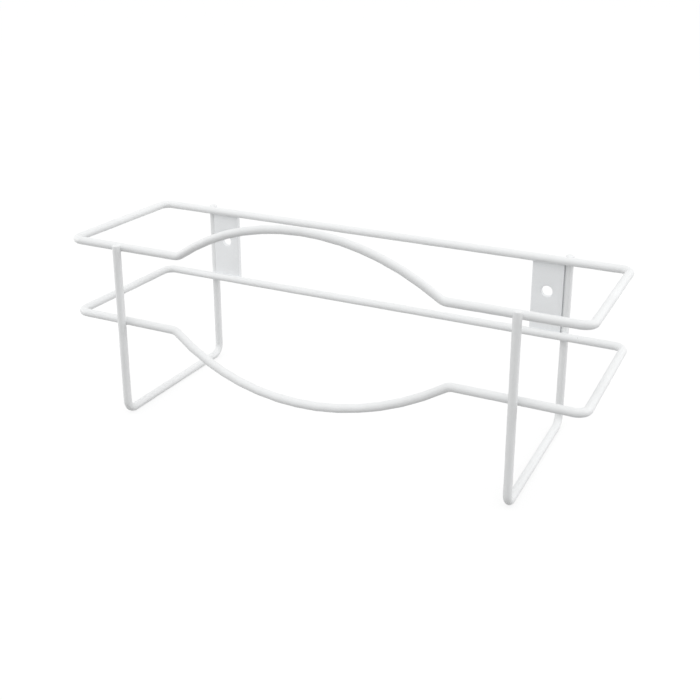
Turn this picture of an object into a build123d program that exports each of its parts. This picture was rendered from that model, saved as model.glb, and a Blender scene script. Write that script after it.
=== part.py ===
"""Wall-mounted wire holder for one box of disposable gloves, in millimetres.

Two closed wire hoops carry the box's sides. In the middle of the front, the upper
hoop arches up and the lower hoop arches down, which leaves an oval window for the
hand. Two U-shaped leg frames cross the hoops outside them and carry the box on
their bottom bars. Two flat wall plates stand between the hoops' back wires, beside
the legs, with one screw hole each.

Frame: +X to the right seen from the front, +Y towards the wall, +Z up. The origin
is midway between the two screw holes, on the plates' back faces.
"""

import os
from math import cos, radians, sin, sqrt

from build123d import *

# Wire
wire_diameter = 4.0
weld_sink = 0.4            # how far two crossing wires are pressed into each other
bend_kinks = 4             # equal kinks that stand for the round of a right-angled bend

# Hoops
bay_width = 256.0          # clear width inside a hoop
bay_depth = 71.5           # clear depth inside a hoop
hoop_pitch = 38.3          # between the two hoops' centre lines
hoop_corner_radius = 5.0   # on the wire's centre line

# Arches in the hoops' front wires
upper_arch_span = 134.0    # between the points where the arc meets the front wire's line
upper_arch_rise = 21.7
upper_arch_lean = 3.0      # degrees forward of upright
lower_arch_span = 141.5
lower_arch_drop = 21.3
lower_arch_lean = 20.0     # degrees forward of plumb
arch_bend_radius = 7.0     # where an arch leaves the straight wire

# Leg frames
leg_inset = 29.6           # from a side wire's centre line in to the leg's
bar_below_hoop = 47.8      # from the lower hoop's centre line down to the bottom bar's
leg_bend_radius = 5.5
leg_end_chamfer = 0.5      # broken rim of a cut wire end

# Wall plates
plate_width = 15.4
plate_thickness = 2.5
plate_front_set = 0.9      # the plate's front face lies this far behind the hoop's centre line
plate_leg_sink = 0.2       # the plate's outer edge is pressed this far into the leg's wire
plate_edge_round = 0.4
screw_hole_diameter = 5.5
screw_above_hoop = 21.5    # from the lower hoop's centre line up to the screw holes

# Levels and planes that follow
wire_radius = wire_diameter / 2
lower_level = -screw_above_hoop
upper_level = lower_level + hoop_pitch
bar_level = lower_level - bar_below_hoop
leg_top = upper_level + wire_radius
back_line = -(plate_thickness + plate_front_set)
front_line = back_line - bay_depth - wire_diameter
half_width = (bay_width + wire_diameter) / 2
leg_offset = wire_diameter - weld_sink
leg_x = half_width - leg_inset
plate_outer = leg_x - wire_radius + plate_leg_sink
plate_centre = plate_outer - plate_width / 2


def swept_wire(path):
    """Round wire along a path, mitred where the path has a kink."""
    start = Plane(origin=path @ 0, z_dir=path % 0)
    return sweep(start * Circle(wire_radius), path=path, transition=Transition.RIGHT)


def bend(before, corner, after, radius):
    """Kinks of a right-angled bend: the polygon that stands round its arc.

    The arc touches the two lines that meet in the corner. Equal kinks keep the
    wire's section round and its facets few.
    """
    inward = (before - corner).normalized() + (after - corner).normalized()
    centre = corner + inward * radius
    start = (before - corner).normalized() * radius + corner - centre
    axis = start.cross(corner - centre)
    step = 90 / bend_kinks
    reach = 1 / cos(radians(step / 2))
    return [
        centre + start.rotate(Axis((0, 0, 0), axis), (i + 0.5) * step) * reach
        for i in range(bend_kinks)
    ]


def arch_edges(span, height, lean, level, side):
    """Arch of the front wire from left to right: bend, arc, bend.

    side is 1 for an arch that rises and -1 for one that drops. The arc's plane is
    turned about the front wire's line by lean degrees, so that its middle comes
    forward.
    """
    half = span / 2
    arc_radius = (half**2 + height**2) / (2 * height)
    arc_centre = height - arc_radius
    reach = arc_radius + arch_bend_radius
    bend_x = sqrt(reach**2 - (arch_bend_radius - arc_centre) ** 2)
    share = arc_radius / reach
    touch_x = bend_x * share
    touch_h = arc_centre + (arch_bend_radius - arc_centre) * share
    turn = Vector(-bend_x, arc_centre - arch_bend_radius).normalized() + Vector(0, -1)
    mid = Vector(bend_x, arch_bend_radius) + turn.normalized() * arch_bend_radius

    def place(x, h):
        forward = h * sin(radians(lean))
        return Vector(x, front_line - forward, level + side * h * cos(radians(lean)))

    return [
        ThreePointArc(place(-bend_x, 0), place(-mid.X, mid.Y), place(-touch_x, touch_h)),
        ThreePointArc(place(-touch_x, touch_h), place(0, height), place(touch_x, touch_h)),
        ThreePointArc(place(touch_x, touch_h), place(mid.X, mid.Y), place(bend_x, 0)),
    ]


def hoop(span, height, lean, level, side):
    """Closed hoop: the arched front wire, two side wires and the back wire."""
    arch = arch_edges(span, height, lean, level, side)
    corners = [
        Vector(half_width, front_line, level),
        Vector(half_width, back_line, level),
        Vector(-half_width, back_line, level),
        Vector(-half_width, front_line, level),
    ]
    start, end = arch[-1] @ 1, arch[0] @ 0
    line = [start, *corners, end]
    points = [start]
    for before, corner, after in zip(line, corners, line[2:]):
        points += bend(before, corner, after, hoop_corner_radius)
    rest = Polyline(*points, end)
    return swept_wire(Wire([*arch, *rest.edges()]))


def leg_frame(x, hoops):
    """U of wire: front leg, bottom bar and back leg, saddled where it crosses the hoops."""
    leg_front = front_line - leg_offset
    leg_back = back_line + leg_offset
    front_top = Vector(x, leg_front, leg_top)
    front_foot = Vector(x, leg_front, bar_level)
    back_foot = Vector(x, leg_back, bar_level)
    back_top = Vector(x, leg_back, leg_top)
    path = Polyline(
        front_top,
        *bend(front_top, front_foot, back_foot, leg_bend_radius),
        *bend(front_foot, back_foot, back_top, leg_bend_radius),
        back_top,
    )
    frame = swept_wire(path)
    rims = frame.faces().filter_by_position(Axis.Z, leg_top - 0.01, leg_top + 0.01).edges()
    frame = chamfer(rims, leg_end_chamfer)
    for crossed in hoops:
        frame -= crossed
    return frame


def wall_plate(side, wires):
    """Flat plate between the back wires, coped to the round of the wires that it meets."""
    middle = (upper_level + lower_level) / 2
    plate = Pos(side * plate_centre, -plate_thickness / 2, middle) * Box(
        plate_width, plate_thickness, hoop_pitch
    )
    plate = fillet(plate.edges().filter_by(Axis.Z), plate_edge_round)
    plate -= Pos(side * plate_centre, -plate_thickness / 2, 0) * Rot(90, 0, 0) * Cylinder(
        screw_hole_diameter / 2, 2 * plate_thickness
    )
    for met in wires:
        plate -= met
    return plate


upper_hoop = hoop(upper_arch_span, upper_arch_rise, upper_arch_lean, upper_level, 1)
lower_hoop = hoop(lower_arch_span, lower_arch_drop, lower_arch_lean, lower_level, -1)
both_hoops = (upper_hoop, lower_hoop)
left_leg_frame = leg_frame(-leg_x, both_hoops)
right_leg_frame = leg_frame(leg_x, both_hoops)

parts = {
    "upper_hoop": upper_hoop,
    "lower_hoop": lower_hoop,
    "left_leg_frame": left_leg_frame,
    "right_leg_frame": right_leg_frame,
    "left_wall_plate": wall_plate(-1, (*both_hoops, left_leg_frame)),
    "right_wall_plate": wall_plate(1, (*both_hoops, right_leg_frame)),
}

os.makedirs("parts", exist_ok=True)
for name, solid in parts.items():
    export_step(solid, f"parts/{name}.step")
    print(name, round(solid.volume, 1))
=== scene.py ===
# %% [markdown]
# # A coated wire rack for a box of gloves
#
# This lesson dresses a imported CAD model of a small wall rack. The real rack is bent from
# round steel wire, welded where the wires cross, and coated with white powder. Its looks
# come from very few things: a round section that stays round through every bend, the soft
# ends of cut wire, and a satin white skin that shows its shape only by light and shade.
# So the lesson is about a path, a sweep and one good white.

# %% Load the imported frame
import math

import bmesh
import bpy
from mathutils import Matrix, Vector


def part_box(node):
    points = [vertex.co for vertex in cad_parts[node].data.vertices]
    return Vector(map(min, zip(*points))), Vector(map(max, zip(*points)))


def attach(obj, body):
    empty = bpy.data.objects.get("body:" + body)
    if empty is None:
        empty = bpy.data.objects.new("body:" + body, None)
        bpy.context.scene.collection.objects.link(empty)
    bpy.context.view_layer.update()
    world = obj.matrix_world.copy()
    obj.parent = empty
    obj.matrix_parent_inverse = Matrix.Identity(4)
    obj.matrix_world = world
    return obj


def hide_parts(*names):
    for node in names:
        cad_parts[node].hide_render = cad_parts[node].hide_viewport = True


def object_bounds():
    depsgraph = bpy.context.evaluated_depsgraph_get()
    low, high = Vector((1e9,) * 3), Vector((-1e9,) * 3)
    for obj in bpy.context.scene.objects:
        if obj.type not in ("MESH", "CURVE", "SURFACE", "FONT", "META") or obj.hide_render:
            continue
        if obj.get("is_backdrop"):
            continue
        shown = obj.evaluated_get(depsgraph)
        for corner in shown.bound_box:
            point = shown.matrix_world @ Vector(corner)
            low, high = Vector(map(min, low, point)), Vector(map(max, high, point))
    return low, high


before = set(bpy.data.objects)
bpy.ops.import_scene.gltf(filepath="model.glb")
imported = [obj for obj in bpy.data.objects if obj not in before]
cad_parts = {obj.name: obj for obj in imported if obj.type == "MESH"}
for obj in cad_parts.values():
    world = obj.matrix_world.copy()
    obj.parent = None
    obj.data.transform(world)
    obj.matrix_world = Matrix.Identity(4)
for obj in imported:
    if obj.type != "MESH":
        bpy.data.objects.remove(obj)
cad_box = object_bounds()
MM = 0.001
print("CAD nodes:", sorted(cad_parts))
print("CAD box in mm:", [[round(c / MM, 2) for c in corner] for corner in cad_box])

# %% [markdown]
# ## The sizes
# A piece that stands for a CAD node must stay where the node is. The sizes below are those
# of the CAD model, in millimetres, and they are written once. The levels of the wires are
# then read from the boxes of the nodes themselves, so they can't drift away from the frame.

# %% Sizes of the wires
wire_radius = 2.0
hoop_corner_radius = 5.0
leg_bend_radius = 5.5
arch_bend_radius = 7.0
weld_sink = 0.4  # how far two wires lie in each other where they cross
upper_arch = {"span": 134.0, "height": 21.7, "lean": 3.0, "side": 1}
lower_arch = {"span": 141.5, "height": 21.3, "lean": 20.0, "side": -1}

hoop_low, hoop_high = (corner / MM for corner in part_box("upper_hoop"))
leg_low, leg_high = (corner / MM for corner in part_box("right_leg_frame"))
half_width = hoop_high.x - wire_radius
back_line = hoop_high.y - wire_radius
upper_level = hoop_low.z + wire_radius
lower_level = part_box("lower_hoop")[1].z / MM - wire_radius
bar_level = leg_low.z + wire_radius
leg_front = leg_low.y + wire_radius
leg_back = leg_high.y - wire_radius
leg_top = leg_high.z
leg_x = (leg_low.x + leg_high.x) / 2
front_line = leg_front + 2 * wire_radius - weld_sink
print("levels:", [round(v, 2) for v in (upper_level, lower_level, bar_level, leg_top)])
print("lines:", [round(v, 2) for v in (half_width, back_line, front_line, leg_x)])

# %% [markdown]
# ## Node trees written as Python
# Shaders and Geometry Nodes are both trees of nodes, and both are easier to read as
# formulas. `Value` wraps one output socket, so that `1 - mask` adds the Math node it means.
# `Recipe` adds any other node: settings first, because they decide which sockets exist, and
# then what goes into the sockets. Clicking the trees together by hand would make the same
# nodes, but a formula can be read, checked and used twice.


# %% A socket that does arithmetic
class Value:
    """One output socket, used in sums like a number."""

    def __init__(self, socket):
        self.socket = socket

    def math(self, operation, left, right):
        node = self.socket.id_data.nodes.new("ShaderNodeMath")
        node.operation = operation
        plug(node.inputs[0], left)
        plug(node.inputs[1], right)
        return Value(node.outputs[0])

    def __add__(self, other):
        return self.math("ADD", self, other)

    def __radd__(self, other):
        return self.math("ADD", other, self)

    def __sub__(self, other):
        return self.math("SUBTRACT", self, other)

    def __rsub__(self, other):
        return self.math("SUBTRACT", other, self)

    def __mul__(self, other):
        return self.math("MULTIPLY", self, other)

    def __rmul__(self, other):
        return self.math("MULTIPLY", other, self)

    def __truediv__(self, other):
        return self.math("DIVIDE", self, other)

    def __rtruediv__(self, other):
        return self.math("DIVIDE", other, self)

    def __lt__(self, other):
        return self.math("LESS_THAN", self, other)

    def __gt__(self, other):
        return self.math("GREATER_THAN", self, other)

    def at_least(self, other):
        """The larger of this value and another."""
        return self.math("MAXIMUM", self, other)

    def sibling(self, name):
        """Another output of the same node."""
        return Value(self.socket.node.outputs[name])


def plug(socket, value):
    """Links a Value to a socket, or sets the socket to a plain value."""
    if isinstance(value, Value):
        socket.id_data.links.new(value.socket, socket)
    else:
        socket.default_value = value


# %% A tree that is filled node by node
class Recipe:
    """A node tree and the one way to add a node to it."""

    def __init__(self, tree):
        self.tree = tree

    def node(self, kind, settings=None, sockets=None, out=0):
        node = self.tree.nodes.new(kind)
        for name, value in (settings or {}).items():
            setattr(node, name, value)
        for name, value in (sockets or {}).items():
            live = [s for s in node.inputs if s.enabled and name in (s.name, s.identifier)]
            plug(live[0], value)
        return Value(node.outputs[out]) if node.outputs else None

    def blend(self, amount, low, high):
        """Mixes two colours by a number from 0 to 1."""
        return self.node(
            "ShaderNodeMix",
            {"data_type": "RGBA"},
            {"Factor": amount, "A_Color": low, "B_Color": high},
            out=2,
        )


def empty_tree(owner):
    """The recipe of a material or a world, with no node in it yet."""
    owner.use_nodes = True
    owner.node_tree.nodes.clear()
    return Recipe(owner.node_tree)


# %% [markdown]
# ## The white coat
# Powder coat is a plastic skin, melted on in an oven. It is satin, not mirror smooth: the
# skin keeps a faint ripple, like orange peel, about two millimetres from crest to crest.
# The white is a little thinner or thicker from place to place, and a rare speck of dust is
# baked in. One flat white would be quicker and would look like paper. All of this is read
# from Object coordinates, which are the metres of the real part, so the ripple has one
# size on every wire and plate.

# %% Sizes of the coat's marks
cloud_size = 24.0  # mm across a patch where the skin is thinner or thicker
peel_depth = 0.14  # mm from hollow to crest of the orange peel
grain_size = 0.35  # mm across the finest unevenness of the skin
grain_height = 0.12  # the grain's height, as a share of the orange peel's
dust_cell = 7.0  # mm of room that each possible speck has to itself
dust_radius = 0.20  # mm
dust_share = 0.30  # the share of those places that do hold a speck
dust_cover = 0.6  # how far a speck shows through the skin
dust_colour = (0.16, 0.14, 0.12, 1)
base_roughness = 0.34
cloud_roughness = 0.10
grain_roughness = 0.05
plastic_ior = 1.5
print("orange peel", peel_depth, "mm deep, a speck in", dust_share, "of the places")


# %% The coat's shader
def white_coat(name, thin, full, peel_size):
    """Satin powder coat.

    Thin and full are its white where the skin is thinnest and thickest, and peel_size is
    the distance between the crests of the orange peel in millimetres. A white set above the
    coat's own, as for the plates, is painted light.
    """
    material = bpy.data.materials.new(name)
    coat = empty_tree(material)
    place = coat.node("ShaderNodeTexCoord").sibling("Object")

    def noise(size, detail):
        sockets = {"Vector": place, "Scale": 1 / (size * MM), "Detail": detail}
        return coat.node("ShaderNodeTexNoise", None, sockets)

    cloud = noise(cloud_size, 3.0)
    white = coat.blend(cloud, (*thin, 1), (*full, 1))
    dust = coat.node(
        "ShaderNodeTexVoronoi", None, {"Vector": place, "Scale": 1 / (dust_cell * MM)}
    )
    lot = coat.node("ShaderNodeTexWhiteNoise", None, {"Vector": dust.sibling("Position")})
    speck = (dust < dust_radius / dust_cell) * (lot < dust_share)
    colour = coat.blend(speck * dust_cover, white, dust_colour)

    grain = noise(grain_size, 1.0)
    height = noise(peel_size, 2.0) + grain * grain_height
    skin = coat.node(
        "ShaderNodeBump",
        None,
        {"Strength": 1.0, "Distance": peel_depth * MM, "Height": height},
    )
    rough = base_roughness + cloud * cloud_roughness + grain * grain_roughness
    shader = coat.node(
        "ShaderNodeBsdfPrincipled",
        None,
        {"Base Color": colour, "Roughness": rough, "Normal": skin, "IOR": plastic_ior},
    )
    coat.node("ShaderNodeOutputMaterial", None, {"Surface": shader})
    return material


# %% Mix the two whites; the plates' white is set lighter as painted light
wire_thin, wire_full = (0.805, 0.814, 0.817), (0.864, 0.873, 0.876)
# The plates wear the same coat as the wires. Their whites are set lighter as painted light,
# for light the plates don't get. The step from thin to full is the coat's real unevenness.
plate_thin_painted_lighter, plate_full_painted_lighter = (0.865, 0.878, 0.888), (0.885, 0.900, 0.911)
wire_peel, plate_peel = 1.9, 2.4
coat_on_wire = white_coat("white_coat_on_wire", wire_thin, wire_full, wire_peel)
plate_coat_painted_lighter = white_coat("white_coat_painted_lighter_on_plate", plate_thin_painted_lighter, plate_full_painted_lighter, plate_peel)
print("materials:", coat_on_wire.name, plate_coat_painted_lighter.name)

# %% [markdown]
# ## Paths
# A bent wire is a path with a thickness. The path is a list of points: long straight runs
# and arcs that touch them. Bezier handles could draw it too, but they only come near a true
# arc, and a bending tool makes true arcs. An arc is cut finely, because each of its points
# becomes a ring of the wire. A straight run also gets points along it, so that the coat can
# be uneven.

# %% Points along arcs and runs
arc_step = math.radians(5.0)
run_step = 2.5  # mm


def arc(centre, start, end):
    """Points on the arc round centre from start to end, both ends included."""
    centre, start, end = Vector(centre), Vector(start), Vector(end)
    spoke, last = start - centre, end - centre
    axis = spoke.cross(last).normalized()
    angle = spoke.angle(last)
    count = max(2, math.ceil(angle / arc_step))
    turns = (Matrix.Rotation(angle * i / count, 3, axis) for i in range(count + 1))
    return [centre + turn @ spoke for turn in turns]


def rounded_corner(before, corner, after, radius):
    """The arc of a right-angled bend, which touches both of its runs."""
    back = (before - corner).normalized() * radius
    ahead = (after - corner).normalized() * radius
    return arc(corner + back + ahead, corner + back, corner + ahead)


def fill_runs(points, closed):
    """Adds points on the straight runs, none further apart than run_step."""
    filled = []
    for here, there in zip(points, points[1:] + points[:1] if closed else points[1:]):
        count = max(1, math.ceil((there - here).length / run_step))
        filled += [here.lerp(there, i / count) for i in range(count)]
    return filled if closed else filled + [points[-1]]


def wire_length(points):
    """The length of an open path in whole millimetres."""
    return round(sum((b - a).length for a, b in zip(points, points[1:])))


# %% [markdown]
# ## The hoops
# Each hoop is one wire, bent into a rectangle and closed. The middle of its front wire
# swells into an arch: a shallow arc between two small bends that turn against it. The bend
# and the arc touch where their centres line up, which gives every point without guessing.
# The arch is drawn flat and then leaned forward about the line of the front wire.


# %% The path of a hoop
def arch_path(span, height, lean, side, level):
    """The front wire's arch from left to right: bend, arc, bend."""
    half = span / 2
    arc_radius = (half**2 + height**2) / (2 * height)
    arc_centre = height - arc_radius
    reach = arc_radius + arch_bend_radius
    rise = arch_bend_radius - arc_centre
    bend_x = math.sqrt(reach**2 - rise**2)
    touch = arc_radius / reach
    touch_x, touch_h = bend_x * touch, arc_centre + rise * touch
    bend_at = (bend_x, arch_bend_radius, 0)
    right = arc(bend_at, (touch_x, touch_h, 0), (bend_x, 0, 0))
    crown = arc((0, arc_centre, 0), (-touch_x, touch_h, 0), (touch_x, touch_h, 0))
    left = [Vector((-p.x, p.y, 0)) for p in reversed(right)]
    tilt = math.radians(lean)

    def place(p):
        forward, up = p.y * math.sin(tilt), p.y * math.cos(tilt)
        return Vector((p.x, front_line - forward, level + side * up))

    return [place(p) for p in left + crown[1:-1] + right]


def hoop_path(arch, level):
    """A closed path: the arched front wire, then round the three other sides."""
    corners = [
        Vector((half_width, front_line, level)),
        Vector((half_width, back_line, level)),
        Vector((-half_width, back_line, level)),
        Vector((-half_width, front_line, level)),
    ]
    front = arch_path(level=level, **arch)
    around = [front[-1], *corners, front[0]]
    path = list(front)
    for before, corner, after in zip(around, corners, around[2:]):
        path += rounded_corner(before, corner, after, hoop_corner_radius)
    return fill_runs(path, closed=True)


upper_points = hoop_path(upper_arch, upper_level)
lower_points = hoop_path(lower_arch, lower_level)
for name, points in (("upper", upper_points), ("lower", lower_points)):
    print(name, "hoop:", wire_length([*points, points[0]]), "mm of wire")

# %% [markdown]
# ## The leg frames
# A leg frame is one open wire in the shape of a square U. The wire is sheared to length,
# and the coat draws back from the sharp rim, so the ends look softly rounded. A bevel could
# round them after the sweep. In the sweep itself it is only a matter of girth: the last
# rings shrink along a quarter circle.

# %% The path of a leg frame
end_round = 0.6  # mm, the round of the rim of a cut end
end_rings = 7
right_overcut = 0.9  # mm by which the right front leg came out longer


def leg_path(x, overcut):
    """An open path: front leg, bottom bar and back leg, with close points at both ends.

    Shears don't cut to a hair: overcut is how much longer the front leg came out.
    """
    front_top = Vector((x, leg_front, leg_top + overcut))
    front_foot = Vector((x, leg_front, bar_level))
    back_foot, back_top = Vector((x, leg_back, bar_level)), Vector((x, leg_back, leg_top))
    path = [front_top - Vector((0, 0, end_round))]
    path += rounded_corner(front_top, front_foot, back_foot, leg_bend_radius)
    path += rounded_corner(front_foot, back_foot, back_top, leg_bend_radius)
    path += [back_top - Vector((0, 0, end_round))]
    path = fill_runs(path, closed=False)
    angles = [math.pi / 2 * i / (end_rings - 1) for i in range(1, end_rings)]
    rise = [Vector((0, 0, end_round * math.sin(a))) for a in angles]
    girth = [1 - end_round / wire_radius * (1 - math.cos(a)) for a in angles]
    start = [path[0] + r for r in reversed(rise)]
    end = [path[-1] + r for r in rise]
    girths = [*reversed(girth), *[1.0] * len(path), *girth]
    return start + path + end, girths


left_points, left_girths = leg_path(-leg_x, overcut=0.0)
right_points, right_girths = leg_path(leg_x, overcut=right_overcut)
for name, points in (("left", left_points), ("right", right_points)):
    print(name, "leg frame:", wire_length(points), "mm of wire")

# %% [markdown]
# ## The sweep
# A Geometry Nodes tree turns any of these paths into coated wire. It draws a circle of the
# wire's diameter, carries it along the path and closes the cut ends. Then it lowers the
# skin here and there by a few hundredths of a millimetre, as molten powder sags and leaves
# shallow hollows. A tree is better than a bevelled curve here, because its sizes have names
# and the same tree makes all four wires. Once a tree has run, its result is kept as a plain
# mesh and the modifier goes, so that nothing later depends on it.


# %% Start a tree
def geometry_tree(name, source, sizes, result):
    """Starts a Geometry Nodes tree: gives its recipe and a Value for each input.

    Source and result name the geometry that goes in and comes out, and sizes gives the
    kind of each other input.
    """
    tree = bpy.data.node_groups.new(name, "GeometryNodeTree")
    face = tree.interface
    face.new_socket(source, in_out="INPUT", socket_type="NodeSocketGeometry")
    for label, kind in sizes.items():
        face.new_socket(label, in_out="INPUT", socket_type="NodeSocket" + kind)
    face.new_socket(result, in_out="OUTPUT", socket_type="NodeSocketGeometry")
    given = tree.nodes.new("NodeGroupInput")
    return Recipe(tree), [Value(s) for s in list(given.outputs)[: len(sizes) + 1]]


# %% Run a tree and keep what it makes
def new_object(name, data):
    """Links a new object to the scene, at the origin."""
    made = bpy.data.objects.new(name, data)
    bpy.context.scene.collection.objects.link(made)
    return made


def keep_result(piece):
    """Makes what a piece's modifiers give its plain mesh, and removes them."""
    depsgraph = bpy.context.evaluated_depsgraph_get()
    finished = bpy.data.meshes.new_from_object(piece.evaluated_get(depsgraph))
    piece.modifiers.clear()
    piece.data = finished
    finished.name = piece.name
    return piece


def run_tree(piece, tree, sizes):
    """Runs a tree on a piece with its sizes set by name, and keeps the result."""
    modifier = piece.modifiers.new(tree.name, "NODES")
    modifier.node_group = tree
    for item in tree.interface.items_tree:
        if item.in_out == "INPUT" and item.name in sizes:
            modifier[item.identifier] = sizes[item.name]
    return keep_result(piece)


# %% The coated wire tree
wire_sides = 36
sag_depth = 0.10  # mm, about as deep as a hollow gets
sag_length = 7.0  # mm from one hollow to the next
sag_level = 0.42  # the noise above which the skin lies lower
sag_slope = 3.0  # how fast a hollow deepens above that level


def coated_wire_tree():
    """A path in, coated wire out."""
    wire, inputs = geometry_tree(
        "coated_wire",
        "Path",
        {
            "Wire Diameter": "Float",
            "Sides": "Int",
            "Sag Depth": "Float",
            "Sag Length": "Float",
            "Seed": "Float",
            "Coat": "Material",
        },
        "Wire",
    )
    path, diameter, sides, depth, length, seed, coat = inputs
    curve = wire.node("GeometryNodeMeshToCurve", None, {"Mesh": path})
    circle = wire.node(
        "GeometryNodeCurvePrimitiveCircle",
        {"mode": "RADIUS"},
        {"Resolution": sides, "Radius": diameter / 2},
    )
    girth = wire.node(
        "GeometryNodeInputNamedAttribute", {"data_type": "FLOAT"}, {"Name": "girth"}
    )
    tube = wire.node(
        "GeometryNodeCurveToMesh",
        None,
        {"Curve": curve, "Profile Curve": circle, "Scale": girth, "Fill Caps": True},
    )
    sag = wire.node(
        "ShaderNodeTexNoise",
        {"noise_dimensions": "4D"},
        {"W": seed, "Scale": 1 / length, "Detail": 1.0},
    )
    hollow = ((sag - sag_level) * sag_slope).at_least(0.0)
    offset = wire.node(
        "ShaderNodeVectorMath",
        {"operation": "SCALE"},
        {"Vector": wire.node("GeometryNodeInputNormal"), "Scale": (0.0 - depth) * hollow},
    )
    skin = wire.node("GeometryNodeSetPosition", None, {"Geometry": tube, "Offset": offset})
    smooth = wire.node("GeometryNodeSetShadeSmooth", None, {"Geometry": skin})
    real = wire.node("GeometryNodeRealizeInstances", None, {"Geometry": smooth})
    coated = wire.node(
        "GeometryNodeSetMaterial", None, {"Geometry": real, "Material": coat}
    )
    wire.node("NodeGroupOutput", None, {"Wire": coated})
    return wire.tree


wire_tree = coated_wire_tree()
print("tree:", wire_tree.name, "with", len(wire_tree.nodes), "nodes")


# %% Bend one wire
def bend_wire(name, points, seed, girths=None, closed=False):
    """Sweeps the coated wire along points and returns it as a plain mesh object."""
    count = len(points)
    edges = [(i, i + 1) for i in range(count - 1)] + ([(count - 1, 0)] if closed else [])
    path = bpy.data.meshes.new(name)
    path.from_pydata([p * MM for p in points], edges, [])
    attribute = path.attributes.new("girth", "FLOAT", "POINT")
    attribute.data.foreach_set("value", girths or [1.0] * count)
    sizes = {
        "Wire Diameter": 2 * wire_radius * MM,
        "Sides": wire_sides,
        "Sag Depth": sag_depth * MM,
        "Sag Length": sag_length * MM,
        "Seed": float(seed),
        "Coat": coat_on_wire,
    }
    return run_tree(new_object(name, path), wire_tree, sizes)


def volume(piece):
    """The volume inside a closed mesh in cubic millimetres; below 0 it is inside out."""
    shape = bmesh.new()
    shape.from_mesh(piece.data)
    inside = shape.calc_volume(signed=True) / MM**3
    shape.free()
    return inside


# %% Bend the four wires
wires = {
    "upper_hoop": bend_wire("upper_hoop_wire", upper_points, 1, closed=True),
    "lower_hoop": bend_wire("lower_hoop_wire", lower_points, 2, closed=True),
    "left_leg_frame": bend_wire("left_leg_wire", left_points, 3, left_girths),
    "right_leg_frame": bend_wire("right_leg_wire", right_points, 4, right_girths),
}
for node, wire in wires.items():
    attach(wire, "root")
    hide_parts(node)
    print(wire.name, len(wire.data.polygons), "faces,", round(volume(wire)), "mm3")

# %% [markdown]
# ## The welds
# Where two wires cross, a pulse of current welds them. They sink into each other, and a
# little steel is squeezed out round the contact as a low, uneven collar, which the coat
# then fills and rounds. Eight collars could be modelled one by one. But all the contacts
# lie in upright planes that face forward, so one small flattened ball can be set on each of
# them as an instance, and noise makes no two collars alike.

# %% The tree of the collars
collar_reach = 1.95  # mm from the contact outwards
collar_depth = 0.75  # mm towards each of the two wires
collar_uneven = 0.6  # mm between its highest and lowest lumps
collar_grain = 1.6  # mm from lump to lump
ball_subdivisions = 4


def collar_tree():
    """Points of contact in, weld collars out."""
    collar, inputs = geometry_tree(
        "weld_collars",
        "Contacts",
        {
            "Reach": "Float",
            "Depth": "Float",
            "Unevenness": "Float",
            "Grain": "Float",
            "Coat": "Material",
        },
        "Collars",
    )
    contacts, reach, depth, uneven, grain, coat = inputs
    ball = collar.node(
        "GeometryNodeMeshIcoSphere",
        None,
        {"Radius": 1.0, "Subdivisions": ball_subdivisions},
    )
    flat = collar.node("ShaderNodeCombineXYZ", None, {"X": reach, "Y": depth, "Z": reach})
    placed = collar.node(
        "GeometryNodeInstanceOnPoints",
        None,
        {"Points": contacts, "Instance": ball, "Scale": flat},
    )
    real = collar.node("GeometryNodeRealizeInstances", None, {"Geometry": placed})
    lumps = collar.node("ShaderNodeTexNoise", None, {"Scale": 1 / grain, "Detail": 1.0})
    offset = collar.node(
        "ShaderNodeVectorMath",
        {"operation": "SCALE"},
        {"Vector": collar.node("GeometryNodeInputNormal"), "Scale": (lumps - 0.5) * uneven},
    )
    skin = collar.node(
        "GeometryNodeSetPosition", None, {"Geometry": real, "Offset": offset}
    )
    smooth = collar.node("GeometryNodeSetShadeSmooth", None, {"Geometry": skin})
    coated = collar.node(
        "GeometryNodeSetMaterial", None, {"Geometry": smooth, "Material": coat}
    )
    collar.node("NodeGroupOutput", None, {"Collars": coated})
    return collar.tree


weld_tree = collar_tree()
print("tree:", weld_tree.name, "with", len(weld_tree.nodes), "nodes")

# %% Set a collar on each contact
contact_lines = ((leg_front + front_line) / 2, (leg_back + back_line) / 2)
contacts = [
    (x * MM, y * MM, z * MM)
    for x in (-leg_x, leg_x)
    for y in contact_lines
    for z in (lower_level, upper_level)
]
contact_mesh = bpy.data.meshes.new("contacts")
contact_mesh.from_pydata(contacts, [], [])
collar_sizes = {
    "Reach": collar_reach * MM,
    "Depth": collar_depth * MM,
    "Unevenness": collar_uneven * MM,
    "Grain": collar_grain * MM,
    "Coat": coat_on_wire,
}
collars = run_tree(new_object("weld_collars", contact_mesh), weld_tree, collar_sizes)
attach(collars, "root")
print(len(contacts), "collars,", round(volume(collars) / len(contacts), 1), "mm3 each")

# %% [markdown]
# ## The wall plates
# Two short pieces of flat bar take the screws. Each is stamped with one round hole and
# stands between the back wires, beside the leg. Its edges are sheared, and the coat rounds
# them over. The hole could be cut with a Boolean modifier, but that leaves slivers which a
# bevel turns into creases. Here the flat is drawn as a ring of faces between the hole and a
# square round it, then given its thickness, and a Bevel modifier rounds its edges.

# %% Sizes of a plate
plate_thickness = 2.5
screw_hole_radius = 2.75
hole_sides = 48
cell_half = 3 * screw_hole_radius  # half the height of the faces that ring the hole
edge_round = 0.40
edge_segments = 4
edge_angle = math.radians(40)  # only edges sharper than this are rounded
sharp_angle = math.radians(35)  # edges sharper than this stay sharp in the shading
plate_low, plate_high = (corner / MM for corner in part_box("right_wall_plate"))
plate_half = (plate_high.x - plate_low.x) / 2
plate_x = (plate_high.x + plate_low.x) / 2
print("plate:", round(2 * plate_half, 2), "wide,", round(plate_x, 2), "from the middle")


# %% Draw the flat of a plate
tiny = 1e-9  # a ray with less slope than this never meets that side of the cell
same_place = 1e-7  # metres between heights that count as one


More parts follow.
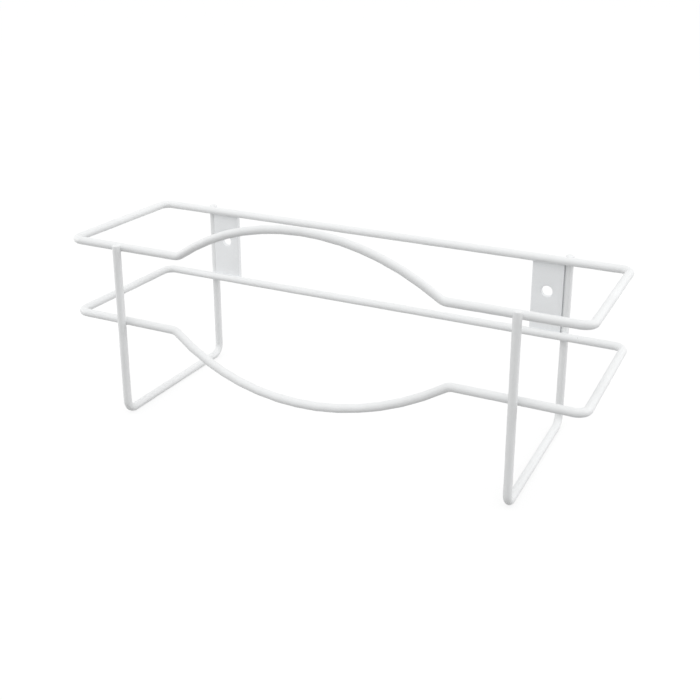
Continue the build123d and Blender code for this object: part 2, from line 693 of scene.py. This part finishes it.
def ring_angles():
    """Directions from the hole: even steps, and the corners of the cell round it."""
    corner = math.atan2(cell_half, plate_half)
    even = [2 * math.pi * i / hole_sides for i in range(hole_sides)]
    corners = [corner, math.pi - corner, math.pi + corner, -corner]
    return sorted({round(a % (2 * math.pi), 9) for a in even + corners})


def rim_point(angle):
    """Where a ray from the middle of the hole meets the cell round it."""
    c, s = math.cos(angle), math.sin(angle)
    reach_x = plate_half / abs(c) if abs(c) > tiny else math.inf
    reach_z = cell_half / abs(s) if abs(s) > tiny else math.inf
    reach = min(reach_x, reach_z)
    return c * reach, s * reach


def hole_point(angle):
    """The point of the hole's edge in that direction."""
    return screw_hole_radius * math.cos(angle), screw_hole_radius * math.sin(angle)


def draw_flat(shape, x):
    """The back of a plate at x: a ring of faces round the hole, and a face at each end."""

    def vertex(px, pz):
        return shape.verts.new(((x + px) * MM, 0.0, pz * MM))

    angles = ring_angles()
    hole = [vertex(*hole_point(a)) for a in angles]
    rim = [vertex(*rim_point(a)) for a in angles]
    for i in range(len(angles)):
        j = (i + 1) % len(angles)
        shape.faces.new((hole[i], hole[j], rim[j], rim[i]))
    for edge_z, end_z in ((cell_half, upper_level), (-cell_half, lower_level)):
        line = [v for v in rim if abs(v.co.z - edge_z * MM) < same_place]
        line.sort(key=lambda v: v.co.x)
        ends = [vertex(-plate_half, end_z), vertex(plate_half, end_z)]
        shape.faces.new((*line, ends[1], ends[0]))


# %% Stamp one plate
def wall_plate(name, x):
    """A flat bar with a screw hole, its back where y is 0 and its ends in the wires."""
    shape = bmesh.new()
    draw_flat(shape, x)
    bmesh.ops.recalc_face_normals(shape, faces=shape.faces)
    extruded = bmesh.ops.extrude_face_region(shape, geom=list(shape.faces))
    moved = [g for g in extruded["geom"] if isinstance(g, bmesh.types.BMVert)]
    bmesh.ops.translate(shape, verts=moved, vec=(0, -plate_thickness * MM, 0))
    bmesh.ops.recalc_face_normals(shape, faces=shape.faces)
    mesh = bpy.data.meshes.new(name)
    shape.to_mesh(mesh)
    shape.free()
    # The plate's coat is the lighter copy of the white: painted light.
    mesh.materials.append(plate_coat_painted_lighter)
    plate = new_object(name, mesh)
    soften = plate.modifiers.new("soften", "BEVEL")
    soften.width = edge_round * MM
    soften.segments = edge_segments
    soften.limit_method = "ANGLE"
    soften.angle_limit = edge_angle
    keep_result(plate)
    plate.data.shade_smooth()
    plate.data.set_sharp_from_angle(angle=sharp_angle)
    return plate


left_plate = wall_plate("left_plate", -plate_x)
right_plate = wall_plate("right_plate", plate_x)
for plate, node in ((left_plate, "left_wall_plate"), (right_plate, "right_wall_plate")):
    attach(plate, "root")
    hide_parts(node)
    print(plate.name, len(plate.data.polygons), "faces,", round(volume(plate)), "mm3")

# %% [markdown]
# ## The floor and the room
# The rack stands on a plain floor in a white room. The white background doesn't come from
# the lamps, because that much light would wash out the wires. The floor and the world show
# the camera their own white, and light the rack with another. The floor also keeps part of
# its diffuse shading in view, which is where the shadow lies.


# %% Surfaces that show a white of their own
def seen_directly(recipe):
    """1 for rays that show a background: the camera's own and those of gloss and glass."""
    camera = recipe.node("ShaderNodeLightPath").sibling("Is Camera Ray")
    glossy, through = camera.sibling("Is Glossy Ray"), camera.sibling("Is Transmission Ray")
    return camera.at_least(glossy.at_least(through))


def white_stage(name, color, strength, kept):
    """A surface that lights the part with one white and shows the camera another.

    Strength is the glow that a background ray sees. Kept is the share of the plain
    diffuse shading that stays in view.
    """
    material = bpy.data.materials.new(name)
    paint = empty_tree(material)
    lit = paint.node("ShaderNodeBsdfDiffuse", None, {"Color": color})
    glow = paint.node("ShaderNodeEmission", None, {"Strength": strength})
    both = paint.node(
        "ShaderNodeMixShader",
        None,
        {"Fac": seen_directly(paint) * (1 - kept), "Shader": lit, "Shader_001": glow},
    )
    paint.node("ShaderNodeOutputMaterial", None, {"Surface": both})
    return material


# %% Lay the floor
floor_reach = 8.0
floor_colour = (0.36, 0.36, 0.36, 1)
floor_glow = 1.645
floor_kept = 0.50
floor_level = leg_low.z * MM
floor_mesh = bpy.data.meshes.new("floor")
floor_mesh.from_pydata(
    [
        (x * floor_reach, y * floor_reach, floor_level)
        for x, y in ((-1, -1), (1, -1), (1, 1), (-1, 1))
    ],
    [],
    [(0, 1, 2, 3)],
)
floor = new_object("floor", floor_mesh)
floor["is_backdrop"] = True
floor_mesh.materials.append(
    white_stage("floor_white", floor_colour, floor_glow, floor_kept)
)
print("floor at", round(leg_low.z, 2), "mm")

# %% The room's own light
room_light = 1.0
backdrop_white = 1.0
world = bpy.data.worlds.new("white_room")
room = empty_tree(world)
ambient = room.node("ShaderNodeBackground", None, {"Strength": room_light})
backdrop = room.node(
    "ShaderNodeBackground", None, {"Color": (1, 1, 1, 1), "Strength": backdrop_white}
)
seen = room.node(
    "ShaderNodeMixShader",
    None,
    {"Fac": seen_directly(room), "Shader": ambient, "Shader_001": backdrop},
)
room.node("ShaderNodeOutputWorld", None, {"Surface": seen})
bpy.context.scene.world = world
print("room light", room_light, "and backdrop", backdrop_white)

# %% [markdown]
# ## The lamps
# White on white is the hardest thing to light. If the lamps make everything bright, the
# shape is gone. So no lamp stands behind the camera: most light falls from above, a soft
# box stands on each side, and the room's even white does the rest. The tops of the wires
# come out almost white, and what faces the camera a light grey. The plates and the back
# wires face no lamp, so a dim card of light hangs inside the rack and faces them. One
# strong lamp would be simpler, but the tops would turn plain white before the plates are
# bright enough.


# %% Kinds of lamp
def hang(lamp, name, place, turn):
    """Links a lamp at place, in metres, and hides its surface from the camera."""
    held = new_object(name, lamp)
    held.location = place
    held.rotation_euler = turn
    held.visible_camera = False
    return held


def facing_rack(place):
    """The turn that points a lamp at place towards the middle of the rack."""
    return Vector(place).to_track_quat("Z", "Y").to_euler()


def overhead(name, place, strength, spread):
    """Even light from a wide disc of sky, as a cloth ceiling gives."""
    lamp = bpy.data.lights.new(name, "SUN")
    lamp.energy = strength
    lamp.angle = math.radians(spread)
    return hang(lamp, name, place, facing_rack(place))


def soft_box(name, place, size, power):
    """A square of light at one side of the rack."""
    lamp = bpy.data.lights.new(name, "AREA")
    lamp.shape = "SQUARE"
    lamp.size = size
    lamp.energy = power
    return hang(lamp, name, place, facing_rack(place))


def card(name, place, width, height, power):
    """An upright sheet of light that faces the wall."""
    lamp = bpy.data.lights.new(name, "AREA")
    lamp.shape = "RECTANGLE"
    lamp.size, lamp.size_y = width, height
    lamp.energy = power
    return hang(lamp, name, place, (math.radians(90), 0, 0))


# %% Hang the lamps
overhead("cloth_ceiling", place=(0.0, -0.60, 1.4), strength=0.68, spread=60)
soft_box("soft_box_right", place=(1.45, 0.62, 0.45), size=1.2, power=8.0)
soft_box("soft_box_left", place=(-0.50, -0.21, 0.10), size=0.3, power=0.44)
card("card_inside", place=(0.0, -0.045, -0.01), width=0.34, height=0.13, power=0.009)

# %% [markdown]
# ## The camera
# The rack is seen from the front, a little from the right and from above, by a camera that
# stands close enough for the far side to look clearly smaller. Aiming the camera straight
# at the rack would centre it, but the rack is framed off the lens's axis, so the sensor is
# shifted a little instead.

# %% Place the camera
azimuth, elevation, roll = 24.998, 17.810, 0.475  # degrees
distance = 456.12  # mm from the target
target = Vector((21.286, -48.4, 24.026))
picture = 700  # pixels along each side
focal_pixels = 990.73
axis_pixel = (375, 250)  # where the lens's axis meets the picture
sensor = 36.0
nearest_seen = 0.01  # metres

a, e, r = (math.radians(v) for v in (azimuth, elevation, roll))
back = Vector((math.sin(a) * math.cos(e), -math.cos(a) * math.cos(e), math.sin(e)))
level_right = (-back).cross(Vector((0, 0, 1))).normalized()
level_up = level_right.cross(-back)
right = level_right * math.cos(r) + level_up * math.sin(r)
up = level_up * math.cos(r) - level_right * math.sin(r)
lens = bpy.data.cameras.new("camera")
lens.sensor_width = sensor
lens.lens = focal_pixels / picture * sensor
lens.shift_x = (picture / 2 - axis_pixel[0]) / picture
lens.shift_y = (axis_pixel[1] - picture / 2) / picture
lens.clip_start = nearest_seen
camera = new_object("camera", lens)
turn = Matrix((right, up, back)).transposed().to_4x4()
camera.matrix_world = Matrix.Translation((target + back * distance) * MM) @ turn
bpy.context.scene.camera = camera
bpy.context.scene.view_settings.view_transform = "Standard"
print("lens", round(lens.lens, 2), "mm, at", [round(v, 4) for v in camera.location])

# %% [markdown]
# ## Sizes at the end
# The dressed rack must be as large as the CAD model, so both boxes are printed.

# %% Write both boxes and finish
bpy.context.view_layer.update()
boxes = {"cad": [list(c) for c in cad_box], "visual": [list(c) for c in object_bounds()]}
for name, box in boxes.items():
    print(name, "box in mm:", [[round(v / MM, 2) for v in corner] for corner in box])
